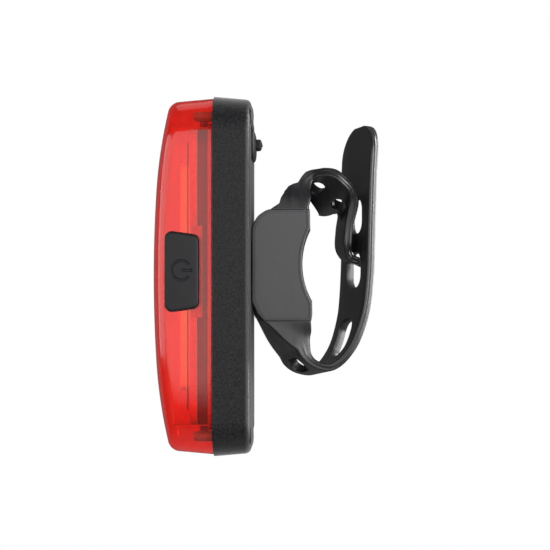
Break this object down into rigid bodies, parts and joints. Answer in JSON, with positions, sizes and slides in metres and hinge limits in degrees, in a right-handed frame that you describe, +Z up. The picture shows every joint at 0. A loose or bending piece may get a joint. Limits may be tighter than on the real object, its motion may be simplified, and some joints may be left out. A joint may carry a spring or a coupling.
{
  "type": "bike rear light",
  "caption": "Slim upright rechargeable bicycle rear light: red lens on a black housing with a side button, held to a round post by a rubber saddle and a slotted hook-on strap.",
  "frame": {"origin": "deepest point of the tube seat, in the middle of the saddle's width", "axes": "+X out of the seat towards the post, away from the light; +Z up along the light; +Y completes the right hand, to the far side of the picture"},
  "size_m": [0.0463, 0.0251, 0.0736],
  "materials": {
    "black_shell": "fine spark-eroded matte black",
    "red_lens": "polished translucent red",
    "soft_rubber": "matte black",
    "mount_rubber": "satin black",
    "grey_rubber": "matte dark grey",
    "steel": "bright",
    "white_plastic": "bright white",
    "black_plastic": "moulded",
    "board": "solder-masked board",
    "diode": "clear-coated diode",
    "clear_guide": "clear light guide",
    "gold_pin": "gold-plated",
    "cell_foil": "foil pouch"
  },
  "bodies": {
    "mount": {"saddle_block": "mount_rubber", "hook_tongue": "mount_rubber", "strap_root": "mount_rubber"},
    "strap": {"strap": "mount_rubber"},
    "light": {"rear_housing": "black_shell", "lens": "red_lens", "lens_gasket": "soft_rubber", "housing_screws": "steel", "reflector_tray": "white_plastic", "led_board": "board", "leds": "diode", "light_guide": "clear_guide", "switch_body": "black_plastic", "charge_board": "board", "board_pins": "gold_pin", "usb_shell": "steel", "usb_tongue": "black_plastic", "battery": "cell_foil", "battery_pad": "soft_rubber", "cover_foot": "soft_rubber", "mount_stud": "black_plastic", "stud_o_ring": "soft_rubber", "mount_washer": "steel", "mount_screw": "steel"},
    "button": {"power_button": "grey_rubber", "switch_plunger": "white_plastic"},
    "cover": {"port_cover": "soft_rubber"}
  },
  "joints": [
    {"name": "swivel", "type": "hinge", "parent": "mount", "child": "light", "pos_m": [-0.0085, 0, -0.001], "axis": [1, 0, 0], "range_deg": [-90, 90]},
    {"name": "strap_swing", "type": "hinge", "parent": "mount", "child": "strap", "pos_m": [0.00332, -0.0001, -0.02279], "axis": [-0.23, 0.9658, -0.12], "range_deg": [0, 100], "stiffness_Nm_per_rad": 0.015, "springref_deg": -11.46},
    {"name": "button_press", "type": "slide", "parent": "light", "child": "button", "axis": [0, 1, 0], "range_m": [0, 0.0005], "stiffness_N_per_m": 3000, "springref_m": -0.0005},
    {"name": "cover_swing", "type": "hinge", "parent": "light", "child": "cover", "pos_m": [-0.0104, 0, 0.0272], "axis": [0, -1, 0], "range_deg": [0, 110]}
  ]
}
